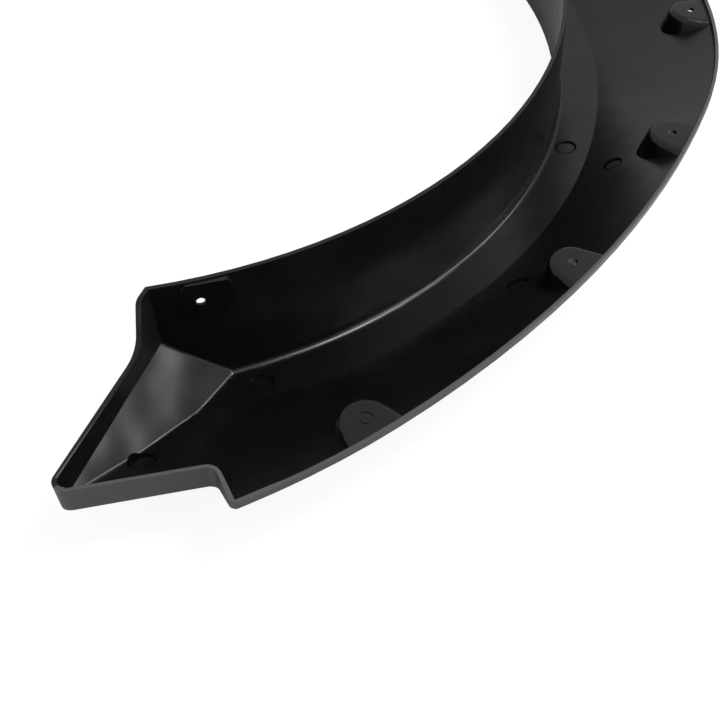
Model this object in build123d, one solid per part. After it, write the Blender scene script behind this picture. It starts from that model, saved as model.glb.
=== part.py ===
import math
import os

from build123d import *

# Wheel arch trim: one black moulding, lying face down as it rests on a table.
# Lengths in mm, angles in degrees. While it is drawn, the wheel axis is at X = Y = 0 and the car's body
# plane at Z = 0; +Y points to the crown of the arch, +X to the tail, +Z to the car.

# Wall
WALL = 3.0

# Lip wall, on the wheel side
LIP_RADIUS = 393.5
LIP_HEIGHT = 33.0
LIP_FLARE = 3.5
DEPTH = 54.0

# Floor band, between the lip wall and the outer slope
CREASE_FLAT = 5.0
BAND_WIDTH = 29.0
BAND_RISE = 4.5
OUTSIDE_FOLD_OUT = 0.6

# Rim: crown, haunch and tail arcs that run on into one another; the first has a smaller radius than the
# lip, the others a larger one
CROWN_WIDTH = 131.1
CROWN_TIGHTER = 43.5
CROWN_HALF_ANGLE = 24.0
HAUNCH_FLATTER = 446.5
HAUNCH_END_ANGLE = 52.0
TAIL_FLATTER = 170.0
RIM_INSIDE = 5.0

# Tail end: the step in from the rim, the tail wall down to the tip, and the end wall back to the lip
RIM_END_LEAN = 63.43
STEP_ANGLE = 24.0
STEP_LENGTH = 30.6
STEP_ROUND = 7.0
TAIL_WALL_ANGLE = 102.3
TAIL_WALL_LENGTH = 98.8
TAIL_FLOOR_DEPTH = 17.0
TAIL_FLOOR_SLOPE = 24.0
LIP_END_ANGLE = 13.0
END_WALL_DRAFT = 3.5
FACET_DEPTH = 18.6
FACET_TURN = 2.0
FACET_SLOPE = 48.0

# Tabs that carry the lip wall round onto the end walls
TAB_WIDTH = 8.0
TAB_LEAN = 20.0
TAB_ROUND = 16.0
TAB_CORNER_ROUND = 5.0

# Far end: plain closed end on a radial plane
FAR_END_ANGLE = 14.0

# Bolt pockets along the rim, which stand up as bosses in the trough
POCKET_LEANS = (0.0, 27.0, 39.0, 53.2)
BOLT_INSET = 16.4
BOLT_HOLE = 6.5
BOSS_TOP = -3.0
BOSS_RADIUS = 17.0
BOSS_WIDEN = 15.0
BOSS_DRAFT = 15.0
BOSS_ROUND = 5.5

# Ring marked on the blind boss nearest the tail
RING_MIDDLE = 9.0
RING_WIDTH = 1.6
RING_DEPTH = 0.6

# Screw pads on the lip wall, one near each end
PAD_FROM_END = 5.4
PAD_TURN = 4.0
PAD_DROP = 13.0
PAD_TOP_DROP = 1.0
PAD_RADIUS = 18.0
PAD_PROUD = 2.5
PAD_WALL = 2.0
PAD_HOLE = 6.0
PAD_HOLE_SHIFT = (-5.0, -3.0)

# Round marks left by the ejector pins: polar angle, way out from the crease and diameter of each
PIN_MARKS = (
    (21.9, 18.7, 16.0),
    (71.8, 14.6, 16.0),
    (47.3, 56.3, 14.0),
    (67.8, 57.3, 14.0),
)
PIN_DEPTH = 1.0

# Pin mark in the valley of the tail: way back from the tip, way in from the end wall and diameter
TAIL_MARK = (62.5, 27.3, 17.0)

# Rounds on the edges
TIP_ROUND = 8.0
RIM_CORNER_ROUND = 6.0
FOOT_BEVEL = 3.0
CREASE_ROUND = 4.0
VALLEY_ROUND = 3.0

# Places that follow from these sizes
CREASE_RADIUS = LIP_RADIUS + LIP_FLARE
BAND_RADIUS = CREASE_RADIUS + CREASE_FLAT + BAND_WIDTH
CROWN_RADIUS = LIP_RADIUS - CROWN_TIGHTER
CROWN_CENTRE = LIP_RADIUS + CROWN_WIDTH - CROWN_RADIUS
HAUNCH_RADIUS = LIP_RADIUS + HAUNCH_FLATTER
TAIL_RADIUS = LIP_RADIUS + TAIL_FLATTER
BLIND_LEAN = POCKET_LEANS[-1]
PAD_ANGLE = LIP_END_ANGLE + PAD_FROM_END

# Lean at which the uncut trough stops, radius that is clear of the lip wall on the wheel side, size of
# the blocks that cut the ends, and how close two places count as one
SWEEP_HALF_ANGLE = 90.0
CLEAR_RADIUS = LIP_RADIUS * 0.8
REACH = LIP_RADIUS * 0.75
CLOSE = 0.02


def direction(angle):
    """Unit step at an angle from +X toward +Y."""
    return math.cos(math.radians(angle)), math.sin(math.radians(angle))


def along(point, angle, distance):
    step = direction(angle)
    return point[0] + step[0] * distance, point[1] + step[1] * distance


def plan(point):
    return point.X, point.Y


def rim_point(lean, inset):
    """Point on the rim whose outward direction leans from +Y toward +X."""
    a = abs(lean)
    joint_1 = direction(90.0 - CROWN_HALF_ANGLE)
    joint_2 = direction(90.0 - HAUNCH_END_ANGLE)
    grow_1 = HAUNCH_RADIUS - CROWN_RADIUS
    grow_2 = TAIL_RADIUS - HAUNCH_RADIUS
    centre = [0.0, CROWN_CENTRE]
    radius = CROWN_RADIUS
    if a > CROWN_HALF_ANGLE:
        centre = [centre[0] - grow_1 * joint_1[0], centre[1] - grow_1 * joint_1[1]]
        radius = HAUNCH_RADIUS
    if a > HAUNCH_END_ANGLE:
        centre = [centre[0] - grow_2 * joint_2[0], centre[1] - grow_2 * joint_2[1]]
        radius = TAIL_RADIUS
    x, y = along(centre, 90.0 - a, radius - inset)
    return (x if lean >= 0 else -x), y


def round_point(lean, radius):
    """Point at a radius about the wheel axis, in line with the rim point of that lean."""
    x, y = rim_point(lean, 0.0)
    return along((0.0, 0.0), math.degrees(math.atan2(y, x)), radius)


STOPS = (
    -SWEEP_HALF_ANGLE,
    -HAUNCH_END_ANGLE,
    -CROWN_HALF_ANGLE,
    CROWN_HALF_ANGLE,
    HAUNCH_END_ANGLE,
    SWEEP_HALF_ANGLE,
)


def chain(point_at, z):
    """Arcs between the stops, each through its own middle."""
    arcs = []
    for a, b in zip(STOPS, STOPS[1:]):
        ends = [point_at(v) + (z,) for v in (a, (a + b) / 2, b)]
        arcs.append(ThreePointArc(*ends))
    return arcs


def section(z, outer_at):
    """Flat slice between a ring well inside the lip wall and the rim side."""
    def inner_at(lean):
        return round_point(lean, CLEAR_RADIUS)
    outer = chain(outer_at, z)
    inner = chain(inner_at, z)
    start = Line(inner[0] @ 0, outer[0] @ 0)
    end = Line(inner[-1] @ 1, outer[-1] @ 1)
    return make_face(Wire(outer + [end] + inner + [start]))


def lip_side(z):
    """Radius of the lip wall's trough face at a height."""
    share = (z + DEPTH) / (LIP_HEIGHT + DEPTH)
    return CREASE_RADIUS + (LIP_RADIUS - CREASE_RADIUS) * share


def level_edges(solid, z):
    """Long edges that run round the arch at a height."""
    def level(e):
        return all(abs((e @ t).Z - z) < CLOSE for t in (0.0, 0.5, 1.0))
    around = [e for e in solid.edges() if level(e)]
    return [e for e in around if abs(math.hypot(*plan(e @ 0)) - math.hypot(*plan(e @ 0.5))) < e.length / 4]


def past_lip(edge, skin):
    """How far the middle of an edge is from the lip wall's face."""
    p = edge @ 0.5
    return math.hypot(p.X, p.Y) - lip_side(p.Z) + skin


def trough(skin, top):
    """Solid of the trough: skin 0 gives the hollow, skin WALL the outside."""
    low = -DEPTH - skin
    inset = WALL - skin

    def crease_at(lean):
        return round_point(lean, CREASE_RADIUS + CREASE_FLAT)

    def band_at(lean):
        return round_point(lean, BAND_RADIUS + OUTSIDE_FOLD_OUT * skin / WALL)

    def rim_at(lean):
        return rim_point(lean, inset)

    levels = (
        (low, crease_at),
        (low + BAND_RISE, band_at),
        (-RIM_INSIDE - skin, rim_at),
        (top, rim_at),
    )
    solid = loft([section(z, outer_at) for z, outer_at in levels], ruled=True)
    tall = REACH
    wheel_side = Cone(lip_side(-tall / 2) - skin, lip_side(tall / 2) - skin, tall)
    solid = solid - wheel_side
    crease = [e for e in level_edges(solid, low) if past_lip(e, skin) < CREASE_FLAT / 2]
    if skin == 0.0:
        return fillet(crease, CREASE_ROUND)
    rim_foot = [e for e in level_edges(solid, -RIM_INSIDE - skin) if past_lip(e, skin) > BAND_WIDTH]
    return chamfer(crease + rim_foot, FOOT_BEVEL)


def end_plane(point, angle, inset):
    """Drafted plane of an end wall whose outside is on the right of its direction."""
    step = direction(angle)
    out = direction(angle - 90.0)
    tilt = math.radians(END_WALL_DRAFT)
    normal = (out[0] * math.cos(tilt), out[1] * math.cos(tilt), -math.sin(tilt))
    place = along(point, angle + 90.0, inset / math.cos(tilt))
    return Plane(origin=(place[0], place[1], 0.0), x_dir=(step[0], step[1], 0.0), z_dir=normal)


def beyond(plane):
    """Block on the outer side of a plane."""
    return plane.location * Pos(0.0, 0.0, REACH) * Box(REACH * 2.4, REACH, REACH * 2)


def floor_plane(point, depth, heading, slope):
    """Inside face of a sloping floor that falls away along its heading."""
    fall = direction(heading)
    level = direction(heading - 90.0)
    tilt = math.radians(slope)
    normal = (fall[0] * math.sin(tilt), fall[1] * math.sin(tilt), math.cos(tilt))
    return Plane(origin=(point[0], point[1], -depth), x_dir=(level[0], level[1], 0.0), z_dir=normal)


def below(plane, inset):
    """Block below a sloping floor."""
    deep = REACH / 3
    return plane.location * Pos(0.0, 0.0, inset - WALL - deep / 2) * Box(REACH * 1.4, REACH * 0.9, deep)


RIM_END = rim_point(RIM_END_LEAN, 0.0)
STEP_CORNER = along(RIM_END, STEP_ANGLE, -STEP_LENGTH)
TIP = along(STEP_CORNER, TAIL_WALL_ANGLE, -TAIL_WALL_LENGTH)
TAIL_FOOT = along(TIP, TAIL_WALL_ANGLE + 90.0, WALL)
LIP_END = along((0.0, 0.0), LIP_END_ANGLE, LIP_RADIUS)
END_WALL_ANGLE = math.degrees(math.atan2(TIP[1] - LIP_END[1], TIP[0] - LIP_END[0]))
FACET_FOOT = along(TIP, END_WALL_ANGLE + 90.0, WALL)
FACET_HEADING = END_WALL_ANGLE + 90.0 - FACET_TURN
FAR_LIP_END = along((0.0, 0.0), 180.0 - FAR_END_ANGLE, LIP_RADIUS)
FAR_FOOT = along(FAR_LIP_END, 90.0 - FAR_END_ANGLE, WALL)
ENDS = (
    (LIP_END, END_WALL_ANGLE, FACET_FOOT, FACET_HEADING),
    (FAR_LIP_END, -FAR_END_ANGLE, FAR_FOOT, 90.0 - FAR_END_ANGLE),
)


def step_corner(inset):
    """Corner between the tail wall and the step."""
    half_turn = (TAIL_WALL_ANGLE - STEP_ANGLE) / 2
    return along(STEP_CORNER, STEP_ANGLE + half_turn + 90.0, inset / math.cos(math.radians(half_turn)))


def tail_block(inset):
    """Upright block that cuts the tail wall and the step."""
    corner = step_corner(inset)
    low = along(corner, TAIL_WALL_ANGLE, -REACH * 0.8)
    far = along(corner, STEP_ANGLE, REACH / 2)
    face = make_face(Polyline(low, corner, far, (far[0] + REACH, low[1]), close=True))
    turn = face.vertices().sort_by_distance((corner[0], corner[1], 0.0))[0]
    face = fillet(turn, STEP_ROUND + inset)
    return Pos(0.0, 0.0, -REACH / 2) * extrude(face, REACH)


def rounding(on_a, middle, on_b, clear):
    """Face between a round corner and a point clear of it."""
    return make_face(ThreePointArc(on_a, middle, on_b) + Polyline(on_b, clear, on_a))


def rim_end_cut():
    """Upright cutter that rounds the corner between the step and the rim."""
    arc_middle = along(RIM_END, 90.0 - RIM_END_LEAN, -TAIL_RADIUS)
    inward = direction(STEP_ANGLE + 90.0)
    off = (arc_middle[0] - RIM_END[0]) * inward[0] + (arc_middle[1] - RIM_END[1]) * inward[1]
    cosine = (RIM_CORNER_ROUND - off) / (TAIL_RADIUS - RIM_CORNER_ROUND)
    lean = math.degrees(math.acos(cosine)) - STEP_ANGLE
    middle = rim_point(lean, RIM_CORNER_ROUND)
    on_step = along(middle, STEP_ANGLE - 90.0, RIM_CORNER_ROUND)
    toward = math.degrees(math.atan2(RIM_END[1] - middle[1], RIM_END[0] - middle[0]))
    arc_top = along(middle, toward, RIM_CORNER_ROUND)
    clear = along(middle, toward, RIM_CORNER_ROUND * 3)
    face = rounding(on_step, arc_top, rim_point(lean, 0.0), clear)
    return Pos(0.0, 0.0, -REACH / 2) * extrude(face, REACH)


def tip_cut():
    """Cutter that rounds the edge between the tail wall and the drafted end wall."""
    tail_out = Vector(*direction(TAIL_WALL_ANGLE - 90.0), 0.0)
    end_out = end_plane(LIP_END, END_WALL_ANGLE, 0.0).z_dir
    half = math.radians(90.0 - tail_out.get_angle(end_out) / 2)
    inward = (tail_out + end_out) * -1
    plane = Plane(origin=(TIP[0], TIP[1], 0.0), x_dir=inward, z_dir=tail_out.cross(end_out))
    run = TIP_ROUND / math.tan(half)
    on_a = (run * math.cos(half), run * math.sin(half))
    arc_top = (TIP_ROUND / math.sin(half) - TIP_ROUND, 0.0)
    face = rounding(on_a, arc_top, (on_a[0], -on_a[1]), (-TIP_ROUND, 0.0))
    return extrude(plane * face, REACH / 2, both=True)


def trimmed(skin, top):
    """Trough with its two ends closed in."""
    inset = WALL - skin
    solid = trough(skin, top)
    for point, angle, foot, heading in ENDS:
        solid = solid - beyond(end_plane(point, angle, inset))
        solid = solid - below(floor_plane(foot, FACET_DEPTH, heading, FACET_SLOPE), inset)
    tail_floor = floor_plane(TAIL_FOOT, TAIL_FLOOR_DEPTH, TAIL_WALL_ANGLE + 90.0, TAIL_FLOOR_SLOPE)
    solid = solid - below(tail_floor, inset)
    return solid - tail_block(inset)


def plane_edges(solid, plane):
    """Edges that lie in a plane."""
    def off(p):
        return abs(plane.to_local_coords(p).Z)
    return [e for e in solid.edges() if all(off(e @ t) < CLOSE for t in (0.0, 0.5, 1.0))]


FACET = floor_plane(FACET_FOOT, FACET_DEPTH, FACET_HEADING, FACET_SLOPE)
END = end_plane(LIP_END, END_WALL_ANGLE, WALL)

outside = trimmed(WALL, LIP_HEIGHT + WALL) - rim_end_cut() - tip_cut()

hollow = trimmed(0.0, LIP_HEIGHT + 2 * WALL)
end_wall_foot = plane_edges(hollow, END)
facet_foot = [e for e in plane_edges(hollow, FACET) if e not in end_wall_foot]
valley = [e for e in facet_foot if past_lip(e, 0.0) > CREASE_ROUND]
hollow = fillet(valley, VALLEY_ROUND)


def boss(lean, end, skin):
    """Flat-topped boss of a bolt pocket: skin 0 gives the boss, skin WALL the pocket under it."""
    x, y = rim_point(lean, BOLT_INSET)
    out = direction(90.0 - lean)
    plane = Plane(origin=(x, y, BOSS_TOP - skin), x_dir=(out[0], out[1], 0.0), z_dir=(0.0, 0.0, -1.0))
    radius = BOSS_RADIUS - skin
    spread = math.radians(BOSS_WIDEN)
    touch = (-radius * math.sin(spread), radius * math.cos(spread))
    wide = touch[1] + (end - touch[0]) * math.tan(spread)
    round_end = ThreePointArc((touch[0], -touch[1]), (-radius, 0.0), touch)
    sides = Polyline(touch, (end, wide), (end, -wide), (touch[0], -touch[1]))
    face = make_face(round_end + sides)
    solid = extrude(plane * face, DEPTH * 0.8, taper=-BOSS_DRAFT)
    if skin > 0:
        return solid
    return fillet(solid.edges().group_by(Axis.Z)[-1], BOSS_ROUND)


leans = [-v for v in POCKET_LEANS if v > 0] + list(POCKET_LEANS)
for lean in leans:
    hollow = hollow - boss(lean, BOLT_INSET + REACH / 10, 0.0)
    outside = outside - boss(lean, BOLT_INSET - WALL, WALL)


PAD_PLACE = along((0.0, 0.0), PAD_ANGLE, lip_side(LIP_HEIGHT - PAD_DROP) + PAD_PROUD)
PAD_FACING = direction(PAD_ANGLE - PAD_TURN)
PAD_FACE = Plane(
    origin=(PAD_PLACE[0], PAD_PLACE[1], LIP_HEIGHT - PAD_DROP),
    x_dir=(-PAD_FACING[1], PAD_FACING[0], 0.0),
    z_dir=(PAD_FACING[0], PAD_FACING[1], 0.0),
)


def pad(wall):
    """Screw pad near the tail: wall 0 gives the pad in the trough, PAD_WALL the recess behind it."""
    deep = PAD_RADIUS
    disc = PAD_FACE.location * Pos(0.0, 0.0, -wall - deep / 2) * Cylinder(PAD_RADIUS - wall, deep)
    top = LIP_HEIGHT - PAD_TOP_DROP - wall
    return disc - Pos(PAD_PLACE[0], PAD_PLACE[1], top + REACH / 2) * Box(REACH, REACH, REACH)


def both_ends(solid):
    return [solid, mirror(solid, about=Plane.YZ)]


for raised, sunk in zip(both_ends(pad(0.0)), both_ends(pad(PAD_WALL))):
    hollow = hollow - raised
    outside = outside - sunk


def above_body():
    """Space above the body plane, clear of the lip wall and the end tabs."""
    shift = LIP_HEIGHT * math.tan(math.radians(TAB_LEAN))
    near = CLEAR_RADIUS
    far = REACH * 3
    high = LIP_HEIGHT * 2
    tab_foot = (LIP_RADIUS + TAB_WIDTH + shift, 0.0)
    tab_top = (LIP_RADIUS + TAB_WIDTH, LIP_HEIGHT)
    kept = make_face(Polyline((near, 0.0), tab_foot, tab_top, (near, LIP_HEIGHT), close=True))
    corner = kept.vertices().sort_by_distance(tab_top + (0.0,))[0]
    kept = fillet(corner, TAB_CORNER_ROUND)
    space = make_face(Polyline((near, 0.0), (far, 0.0), (far, high), (near, high), close=True))
    space = space - kept
    turn = space.vertices().sort_by_distance(tab_foot + (0.0,))[0]
    space = fillet(turn, TAB_ROUND)
    return revolve(Plane.XZ * space, Axis.Z, 360.0)


trim = outside - hollow - above_body()

for lean in leans:
    x, y = rim_point(lean, BOLT_INSET)
    top = Pos(x, y, BOSS_TOP)
    if abs(lean) < BLIND_LEAN:
        trim = trim - top * Cylinder(BOLT_HOLE / 2, WALL * 4)
    elif lean > 0:
        ring = Cylinder((RING_MIDDLE + RING_WIDTH) / 2, RING_DEPTH * 2)
        trim = trim - top * (ring - Cylinder((RING_MIDDLE - RING_WIDTH) / 2, RING_DEPTH * 2))

pad_hole = PAD_FACE.location * Pos(*PAD_HOLE_SHIFT, 0.0) * Cylinder(PAD_HOLE / 2, PAD_RADIUS)
for hole in both_ends(pad_hole):
    trim = trim - hole


def pin_mark(place, diameter):
    """Disc sunk square into the inside face under a place."""
    hits = hollow.find_intersection_points(Axis((place[0], place[1], 0.0), (0.0, 0.0, -1.0)))
    point, normal = min(hits, key=lambda hit: hit[0].Z)
    face = Plane(origin=point, z_dir=normal if normal.Z > 0 else normal * -1)
    return face.location * Pos(0.0, 0.0, diameter / 4 - PIN_DEPTH) * Cylinder(diameter / 2, diameter / 2)


for angle, way_out, diameter in PIN_MARKS:
    trim = trim - pin_mark(along((0.0, 0.0), angle, CREASE_RADIUS + way_out), diameter)
way_back, way_in, diameter = TAIL_MARK
tail_mark = along(along(TIP, END_WALL_ANGLE, -way_back), END_WALL_ANGLE + 90.0, way_in)
trim = trim - pin_mark(tail_mark, diameter)

box = trim.bounding_box()
middle = box.center()
trim = Pos(-middle.X, -middle.Y, -box.min.Z) * trim
os.makedirs("parts", exist_ok=True)
export_step(trim, "parts/arch_trim.step")
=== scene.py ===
import math

import bmesh
import bpy
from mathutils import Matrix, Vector
from mathutils.bvhtree import BVHTree


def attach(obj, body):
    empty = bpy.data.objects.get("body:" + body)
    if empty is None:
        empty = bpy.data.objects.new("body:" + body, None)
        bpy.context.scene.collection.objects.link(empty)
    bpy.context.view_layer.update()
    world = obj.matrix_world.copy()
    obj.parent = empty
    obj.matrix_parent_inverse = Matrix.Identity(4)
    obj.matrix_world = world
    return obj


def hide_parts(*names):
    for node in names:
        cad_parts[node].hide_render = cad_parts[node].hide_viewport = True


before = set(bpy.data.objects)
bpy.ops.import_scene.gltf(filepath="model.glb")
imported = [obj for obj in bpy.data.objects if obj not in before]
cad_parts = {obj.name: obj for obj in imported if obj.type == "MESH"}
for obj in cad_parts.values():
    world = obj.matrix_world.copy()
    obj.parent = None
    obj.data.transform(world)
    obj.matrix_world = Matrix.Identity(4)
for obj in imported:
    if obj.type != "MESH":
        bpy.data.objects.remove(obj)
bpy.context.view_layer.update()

# The moulding: one injection-moulded shell of black ABS that is bolted to the car through its pockets. The
# side that faces the car comes off a polished core and is smooth and satin; the side that shows comes off
# an etched mould and is grained.
MM = 0.001
WALL = 3.0 * MM
MERGE = 0.005 * MM


def put(name, data):
    """Object in the scene, at the origin, that holds a mesh, a lamp or a camera."""
    thing = bpy.data.objects.new(name, data)
    bpy.context.scene.collection.objects.link(thing)
    return thing


def bench(mesh):
    """Shape to work on, made of a mesh with its doubled corners merged."""
    shape = bmesh.new()
    shape.from_mesh(mesh)
    bmesh.ops.remove_doubles(shape, verts=shape.verts, dist=MERGE)
    return shape


def off_bench(name, shape):
    """Object made of a shape that has been worked on."""
    mesh = bpy.data.meshes.new(name)
    shape.to_mesh(mesh)
    shape.free()
    return put(name, mesh)


def discard(thing):
    """Takes an object and its mesh away."""
    mesh = thing.data
    bpy.data.objects.remove(thing)
    bpy.data.meshes.remove(mesh)


def finished(thing):
    """Mesh of an object as its modifiers leave it; the object is taken away."""
    graph = bpy.context.evaluated_depsgraph_get()
    mesh = bpy.data.meshes.new_from_object(thing.evaluated_get(graph), depsgraph=graph)
    discard(thing)
    return mesh


work = bench(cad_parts["arch_trim"].data)
shell_faces = BVHTree.FromBMesh(work)
open_shell = off_bench("arch_trim_open", work)

# The walls of the pointed tail meet at the tip in one round wall, as thick as the rest. It leans with the
# draft of the end wall, sits a hair inside the outer face and has its foot in the floor of the tail.
UP = Vector((0.0, 0.0, 1.0))
WHEEL_AXIS = Vector((5.160478, -284.679167, 57.0)) * MM
TIP_MIDDLE = WHEEL_AXIS + Vector((504.74, 52.78, 0.0)) * MM
TIP_ROUND = 8.0 * MM
TIP_INSET = 0.1 * MM
TIP_LEAN = Vector((-0.015, 0.069, -1.0))
TIP_HEIGHT = 16.5 * MM
TIP_FOOT = 1.2 * MM
TIP_START = -104.0
TIP_STEP = 13.75
TIP_STEPS = 9


def compass(angle):
    """Level direction at an angle in degrees from +X toward +Y."""
    return Vector((math.cos(math.radians(angle)), math.sin(math.radians(angle)), 0.0))


def tip_upright(shape, away, radius):
    """Top and foot of the tip wall at a radius from its middle."""
    top = TIP_MIDDLE + away * radius
    low = top + TIP_LEAN * TIP_HEIGHT
    underside = shell_faces.ray_cast(Vector((low.x, low.y, -WALL)), UP)[0]
    foot = top + TIP_LEAN * (top.z - underside.z - TIP_FOOT)
    return shape.verts.new(top), shape.verts.new(foot)


tip = bmesh.new()
rings = []
for step in range(TIP_STEPS):
    away = compass(TIP_START + TIP_STEP * step)
    outer_top, outer_foot = tip_upright(tip, away, TIP_ROUND - TIP_INSET)
    inner_top, inner_foot = tip_upright(tip, away, TIP_ROUND - WALL)
    rings.append((outer_top, outer_foot, inner_foot, inner_top))
for ring, next_ring in zip(rings, rings[1:]):
    for i in range(len(ring)):
        tip.faces.new((ring[i - 1], ring[i], next_ring[i], next_ring[i - 1]))
tip.faces.new(rings[0])
tip.faces.new(rings[-1])
bmesh.ops.recalc_face_normals(tip, faces=tip.faces)
tip_wall = off_bench("tip_wall", tip)
union = open_shell.modifiers.new("one_moulding", "BOOLEAN")
union.operation = "UNION"
union.solver = "EXACT"
union.object = tip_wall
whole_mesh = finished(open_shell)
discard(tip_wall)
work = bench(whole_mesh)
bpy.data.meshes.remove(whole_mesh)

# The rim and the tail walls are rounded over on the trough side, clear of their corners, so that only a
# narrow edge is left on top. The sizes of the lip wall tell the trough side from the outside.
LIP_RADIUS = 393.5 * MM
LIP_HEIGHT = 33.0 * MM
LIP_FLARE = 3.5 * MM
DEPTH = 54.0 * MM
# Shares of a face's normal: along y for an end wall, and along z for a wall that is upright or steep and
# for a top that is level.
END_WALL_FACING = 0.8
UPRIGHT = 0.15
STEEP = 0.3
LEVEL = 0.999
TOP_NEAR = 0.06 * MM
TOP_ROUND = 1.5 * MM
ROUND_STEPS = 2
CORNER_TURN = math.radians(30.0)
CORNER_REACH = 4 * WALL


def faces_car(face):
    """Is a face of the mesh on the side that faces the car."""
    place = face.calc_center_median() - WHEEL_AXIS
    radius = math.hypot(place.x, place.y)
    lip_side = LIP_RADIUS + LIP_FLARE * (LIP_HEIGHT - place.z) / (LIP_HEIGHT + DEPTH)
    if place.z > LIP_HEIGHT - WALL / 3:
        return True
    if abs(face.normal.y) > END_WALL_FACING and place.y < LIP_RADIUS / 3:
        return face.normal.y > 0
    if radius < lip_side + 3 * WALL and place.z > -DEPTH + WALL:
        return radius > lip_side - WALL / 2
    if abs(face.normal.z) > UPRIGHT:
        return face.normal.z > 0
    return face.normal.x * place.x + face.normal.y * place.y < 0


def middle(edge):
    """Middle of an edge of the mesh."""
    return (edge.verts[0].co + edge.verts[1].co) / 2


flat_top = set()
for face in work.faces:
    height = face.calc_center_median().z - WHEEL_AXIS.z
    if face.normal.z > LEVEL and abs(height) < TOP_NEAR:
        flat_top.add(face)
inner_edges = set()
for face in flat_top:
    for edge in face.edges:
        others = [other for other in edge.link_faces if other not in flat_top]
        if others and abs(others[0].normal.z) < STEEP and faces_car(others[0]):
            inner_edges.add(edge)
corners = [TIP_MIDDLE]
for vertex in {vertex for edge in inner_edges for vertex in edge.verts}:
    runs = [edge.other_vert(vertex).co - vertex.co for edge in vertex.link_edges if edge in inner_edges]
    if len(runs) != 2 or math.pi - runs[0].angle(runs[1]) > CORNER_TURN:
        corners.append(vertex.co.copy())
rounded_edges = []
for edge in inner_edges:
    if all((middle(edge) - corner).length > CORNER_REACH for corner in corners):
        rounded_edges.append(edge)
flat_edges = []
for edge in {edge for face in flat_top for edge in face.edges}:
    inside = all(face in flat_top for face in edge.link_faces)
    if inside and all((vertex.co - TIP_MIDDLE).length > CORNER_REACH for vertex in edge.verts):
        flat_edges.append(edge)
bmesh.ops.dissolve_edges(work, edges=flat_edges, use_verts=False, use_face_split=False)
bmesh.ops.bevel(work, geom=rounded_edges, offset=TOP_ROUND, offset_type="OFFSET", segments=ROUND_STEPS,
                profile=0.5, affect="EDGES", clamp_overlap=False, loop_slide=True)
bmesh.ops.triangulate(work, faces=work.faces)
work.normal_update()

# Ejector pins left shallow round marks in the trough. A thin ring round each is painted shade: there the
# plastic gives no reflection and shows dead black, as a shadow line round the mark. A mark has its angle on
# the compass, its way out from the foot of the lip wall and its diameter.
PIN_MARKS = (
    (21.9, 18.7 * MM, 16.0 * MM),
    (71.8, 14.6 * MM, 16.0 * MM),
    (47.3, 56.3 * MM, 14.0 * MM),
    (67.8, 57.3 * MM, 14.0 * MM),
    (10.6, 77.4 * MM, 17.0 * MM),
)
PIN_DEPTH = 1.0 * MM
SHADE_RING_HALF_WIDTH = 0.9 * MM
pin_shade_rings = []
for angle, way_out, diameter in PIN_MARKS:
    above = WHEEL_AXIS + compass(angle) * (LIP_RADIUS + LIP_FLARE + way_out)
    bottom, normal, _, _ = shell_faces.ray_cast(above, -UP)
    pin_shade_rings.append((bottom + UP * (PIN_DEPTH / normal.z), diameter / 2))

# The finishes of the moulding are all black ABS and differ in how the surface was made; the top edge is
# also painted lighter as a highlight. The sizes of grain and waves are in millimetres, each with its depth.
GRAIN_DETAIL = 3.0
WAVE_DETAIL = 1.0
WAVE_LOW = 0.3
WAVE_HIGH = 0.7


def srgb(text):
    """Linear colour of an sRGB hex colour."""
    values = [int(text[i:i + 2], 16) / 255 for i in (0, 2, 4)]
    return [v / 12.92 if v <= 0.04045 else ((v + 0.055) / 1.055) ** 2.4 for v in values] + [1.0]


def node(tree, kind, inputs=None, **settings):
    """Adds a node with its settings, and sets its inputs or links other nodes' outputs to them."""
    made = tree.nodes.new(kind)
    for name, value in settings.items():
        setattr(made, name, value)
    for name, source in (inputs or {}).items():
        if isinstance(source, bpy.types.NodeSocket):
            tree.links.new(source, made.inputs[name])
        else:
            made.inputs[name].default_value = source
    return made


def plastic(name, colour, shine, rough, grain, wave, seed=0.0):
    """Moulded plastic: a fine grain over the long soft waves of a cooled wall, painted shade round the pin
    marks.
    """
    material = bpy.data.materials.new(name)
    material.use_nodes = True
    tree = material.node_tree
    shader = tree.nodes["Principled BSDF"]
    shader.inputs["Base Color"].default_value = srgb(colour)
    place = node(tree, "ShaderNodeTexCoord").outputs["Object"]
    # Painted shade: a thin ring round each pin mark loses all reflection and shows dead black.
    ring_shade = 0.0
    for centre, radius in pin_shade_rings:
        reach = node(tree, "ShaderNodeVectorMath", {0: place, 1: centre}, operation="DISTANCE")
        ring = node(tree, "ShaderNodeMath", {0: reach.outputs["Value"], 1: radius, 2: SHADE_RING_HALF_WIDTH},
                    operation="COMPARE")
        ring_shade = node(tree, "ShaderNodeMath", {0: ring.outputs[0], 1: ring_shade}, operation="MAXIMUM").outputs[0]
    gloss = node(tree, "ShaderNodeMapRange", {"Value": ring_shade, "To Min": shine, "To Max": 0.0})
    tree.links.new(gloss.outputs["Result"], shader.inputs["Specular IOR Level"])
    grain_size, grain_depth = grain
    grit = node(tree, "ShaderNodeTexNoise",
                {"Vector": place, "Scale": 1 / (grain_size * MM), "Detail": GRAIN_DETAIL}).outputs["Fac"]
    wave_size, wave_depth = wave
    swell = node(tree, "ShaderNodeTexNoise",
                 {"Vector": place, "W": seed, "Scale": 1 / (wave_size * MM), "Detail": WAVE_DETAIL},
                 noise_dimensions="4D").outputs["Fac"]
    sheen = node(tree, "ShaderNodeMapRange", {"Value": swell, "From Min": WAVE_LOW, "From Max": WAVE_HIGH,
                                              "To Min": rough[0], "To Max": rough[1]})
    tree.links.new(sheen.outputs["Result"], shader.inputs["Roughness"])
    soft = node(tree, "ShaderNodeBump", {"Height": swell, "Strength": 1.0, "Distance": wave_depth * MM})
    fine = node(tree, "ShaderNodeBump", {"Height": grit, "Normal": soft.outputs["Normal"],
                                         "Strength": 1.0, "Distance": grain_depth * MM})
    tree.links.new(fine.outputs["Normal"], shader.inputs["Normal"])
    return material


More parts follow.
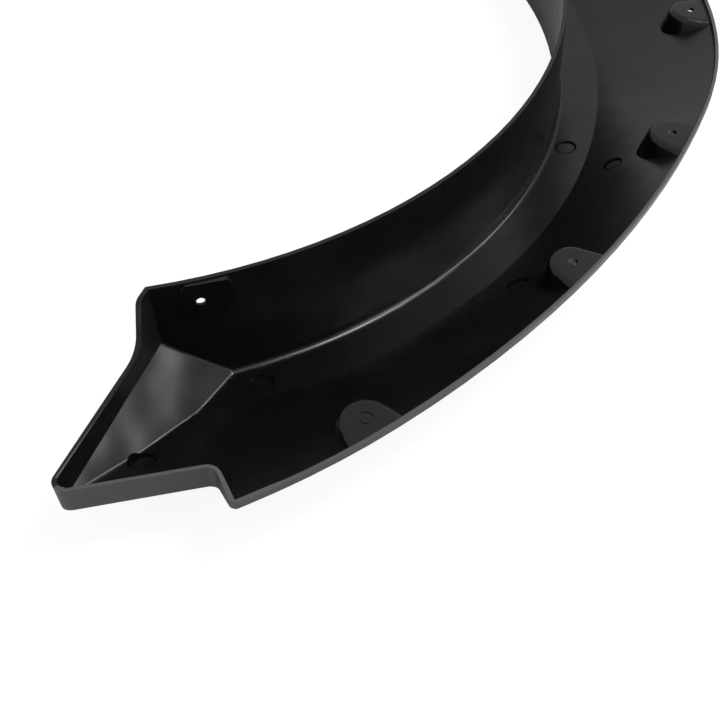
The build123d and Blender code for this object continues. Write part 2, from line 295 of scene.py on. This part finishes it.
# Off the polished core: deep black, with satin highlights that swim a little on the waves of the wall.
smooth_black = plastic("polished_core_black_abs", "080809", shine=0.42, rough=(0.2, 0.3),
                       grain=(1.2, 0.002), wave=(34.0, 0.5))
# Off the etched mould: an even dark grey sheen. The grain is drawn coarser than life so that it shows.
grained_black = plastic("etched_grain_black_abs", "2A2A2C", shine=0.42, rough=(0.45, 0.55),
                        grain=(0.9, 0.04), wave=(30.0, 0.03))
# Along the top of the rim and the tail: a duller, greyer line, the painted highlight of the edge.
edge_highlight_black = plastic("painted_highlight_edge_black_abs", "424244", shine=0.45, rough=(0.5, 0.6),
                        grain=(0.6, 0.05), wave=(8.0, 0.05))
# Off the polished core where the end facet shrank as it cooled: broad highlights that bend and pool.
sunken_black = plastic("shrunken_core_black_abs", "080809", shine=0.42, rough=(0.2, 0.3),
                       grain=(1.2, 0.002), wave=(55.0, 5.0), seed=7.7)
FINISHES = (smooth_black, grained_black, edge_highlight_black, sunken_black)

# The fold of the floor band, the rims of the screw pads and all sharp bends show as crisp lines, and the
# round at the foot of the lip wall stays smooth. Each face then gets the finish of its side.
FOLDS = ((431.0 * MM, -49.5 * MM), (431.6 * MM, -52.5 * MM))
NEAR = 0.3 * MM
SHARP_ANGLE = math.radians(28.0)
PAD_FACING = compass(14.4)
PLUMB = 0.002
SAME_WAY = 0.9995
FACET_SLOPE = math.radians(48.0)
FACET_FACING = compass(67.95) * math.sin(FACET_SLOPE) + UP * math.cos(FACET_SLOPE)
END_WALLS = (
    (compass(13.0) * LIP_RADIUS, compass(69.95)),
    (compass(166.0) * LIP_RADIUS, compass(76.0)),
)
NEARLY_LEVEL = 0.9


def on_fold(vertex):
    """Is a corner of the mesh on the fold between the floor band and the outer slope."""
    place = vertex.co - WHEEL_AXIS
    away = math.hypot(place.x, place.y)
    return any(abs(away - radius) < NEAR and abs(place.z - height) < NEAR for radius, height in FOLDS)


def in_crease(edge):
    """Is an edge of the mesh in the round at the foot of the lip wall."""
    place = middle(edge) - WHEEL_AXIS
    way_out = math.hypot(place.x, place.y) - LIP_RADIUS - LIP_FLARE
    return -NEAR < way_out < 2 * WALL and -NEAR < place.z + DEPTH < 2 * WALL


def on_pad(face):
    """Is a face of the mesh on the flat of a screw pad, which stands upright."""
    facing = abs(face.normal.x) * PAD_FACING.x + face.normal.y * PAD_FACING.y
    return abs(face.normal.z) < PLUMB and facing > SAME_WAY


def on_edge(face):
    """Is a face of the mesh on the top edge of the rim and tail, level with the car's body, painted lighter
    as a highlight.
    """
    place = face.calc_center_median() - WHEEL_AXIS
    past_walls = min((place - corner).dot(inward) for corner, inward in END_WALLS)
    return face.normal.z > NEARLY_LEVEL and abs(place.z) < WALL / 3 and past_walls > 1.5 * WALL


def finish_of(face):
    """Finish of a face of the mesh."""
    if face.normal.dot(FACET_FACING) > SAME_WAY:
        return sunken_black
    # The top edge takes a lighter grey, a painted highlight.
    if on_edge(face):
        return edge_highlight_black
    return smooth_black if faces_car(face) else grained_black


for edge in work.edges:
    folded = all(on_fold(vertex) for vertex in edge.verts)
    pad_rim = len({on_pad(face) for face in edge.link_faces}) == 2
    bent = edge.calc_face_angle(math.pi) > SHARP_ANGLE
    edge.smooth = in_crease(edge) or not (folded or pad_rim or bent)
for face in work.faces:
    face.smooth = True
    face.material_index = FINISHES.index(finish_of(face))
raw_shell = off_bench("arch_trim_raw", work)
for finish in FINISHES:
    raw_shell.data.materials.append(finish)
weigh = raw_shell.modifiers.new("flat_walls_stay_flat", "WEIGHTED_NORMAL")
weigh.mode = "FACE_AREA"
weigh.weight = 90
weigh.keep_sharp = True
shell = put("arch_trim_shell", finished(raw_shell))
shell.data.name = "arch_trim_shell"
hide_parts("arch_trim")
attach(shell, "root")

# The table: a sheet of white paper under the trim, lit so strongly that it shows as white, with only a
# faint shadow close to the trim.
HALF_TABLE = 6.0
PAPER_GLOW = 0.86
WHITE = (1.0, 1.0, 1.0, 1.0)
WHITE_OUT = 1.05
sheet_corners = [(x * HALF_TABLE, y * HALF_TABLE, 0.0) for x, y in ((-1, -1), (1, -1), (1, 1), (-1, 1))]
table_mesh = bpy.data.meshes.new("white_table")
table_mesh.from_pydata(sheet_corners, [], [(0, 1, 2, 3)])
table = put("white_table", table_mesh)
paper = bpy.data.materials.new("white_paper_sweep")
paper.use_nodes = True
tree = paper.node_tree
sheet = tree.nodes["Principled BSDF"]
sheet.inputs["Base Color"].default_value = srgb("F4F4F4")
sheet.inputs["Roughness"].default_value = 0.9
sheet.inputs["Specular IOR Level"].default_value = 0.1
glow = node(tree, "ShaderNodeEmission", {"Color": WHITE, "Strength": WHITE_OUT})
seen = node(tree, "ShaderNodeLightPath").outputs["Is Camera Ray"]
share = node(tree, "ShaderNodeMath", {0: seen, 1: PAPER_GLOW}, operation="MULTIPLY")
blend = node(tree, "ShaderNodeMixShader", {0: share.outputs[0], 1: sheet.outputs[0], 2: glow.outputs[0]})
tree.links.new(blend.outputs[0], tree.nodes["Material Output"].inputs["Surface"])
table_mesh.materials.append(paper)

# The light: a white tent all round and three soft lamps on the right, one high, one low toward the back
# and a wide low strip, which draw the satin highlights on walls and creases.
TENT_STRENGTH = 0.6
LIT_PLACE = Vector((0.4, -0.1, 0.02))
LAMP_DISTANCE = 2.2
world = bpy.data.worlds.new("white_studio")
bpy.context.scene.world = world
world.use_nodes = True
tree = world.node_tree
tent = tree.nodes["Background"]
tent.inputs["Color"].default_value = WHITE
tent.inputs["Strength"].default_value = TENT_STRENGTH
backdrop = node(tree, "ShaderNodeBackground", {"Color": WHITE, "Strength": WHITE_OUT})
seen = node(tree, "ShaderNodeLightPath").outputs["Is Camera Ray"]
blend = node(tree, "ShaderNodeMixShader", {0: seen, 1: tent.outputs[0], 2: backdrop.outputs[0]})
tree.links.new(blend.outputs[0], tree.nodes["World Output"].inputs["Surface"])


def lamp(name, azimuth, elevation, width, height, power):
    """Rectangular soft lamp that looks at the tail of the trim from a compass angle and a height."""
    light = bpy.data.lights.new(name, "AREA")
    light.shape = "RECTANGLE"
    light.size = width
    light.size_y = height
    light.energy = power
    rise = math.radians(elevation)
    away = compass(azimuth) * math.cos(rise) + UP * math.sin(rise)
    thing = put(name, light)
    thing.location = LIT_PLACE + away * LAMP_DISTANCE
    thing.rotation_euler = away.to_track_quat("Z", "Y").to_euler()


lamp("softbox_above", azimuth=100.0, elevation=63.0, width=0.7, height=0.7, power=32.0)
lamp("softbox_behind", azimuth=118.0, elevation=35.0, width=0.5, height=0.5, power=6.0)
lamp("strip_right", azimuth=85.0, elevation=32.5, width=1.6, height=0.46, power=15.0)

# The camera: a longish lens that looks down on the tail end from the side of +X.
LOOK_AT = WHEEL_AXIS + Vector((412.2, 221.4, 0.0)) * MM
CAMERA_RISE = math.radians(48.0)
CAMERA_DISTANCE = 720.0 * MM
FILM_WIDTH_MM = 36.0
LENS_MM = 57.5
lens = bpy.data.cameras.new("photo_camera")
lens.sensor_width = FILM_WIDTH_MM
lens.lens = LENS_MM
camera = put("photo_camera", lens)
camera.location = LOOK_AT + Vector((math.cos(CAMERA_RISE), 0.0, math.sin(CAMERA_RISE))) * CAMERA_DISTANCE
camera.rotation_euler = (LOOK_AT - camera.location).to_track_quat("-Z", "Y").to_euler()
bpy.context.scene.camera = camera
bpy.context.scene.view_settings.view_transform = "Standard"
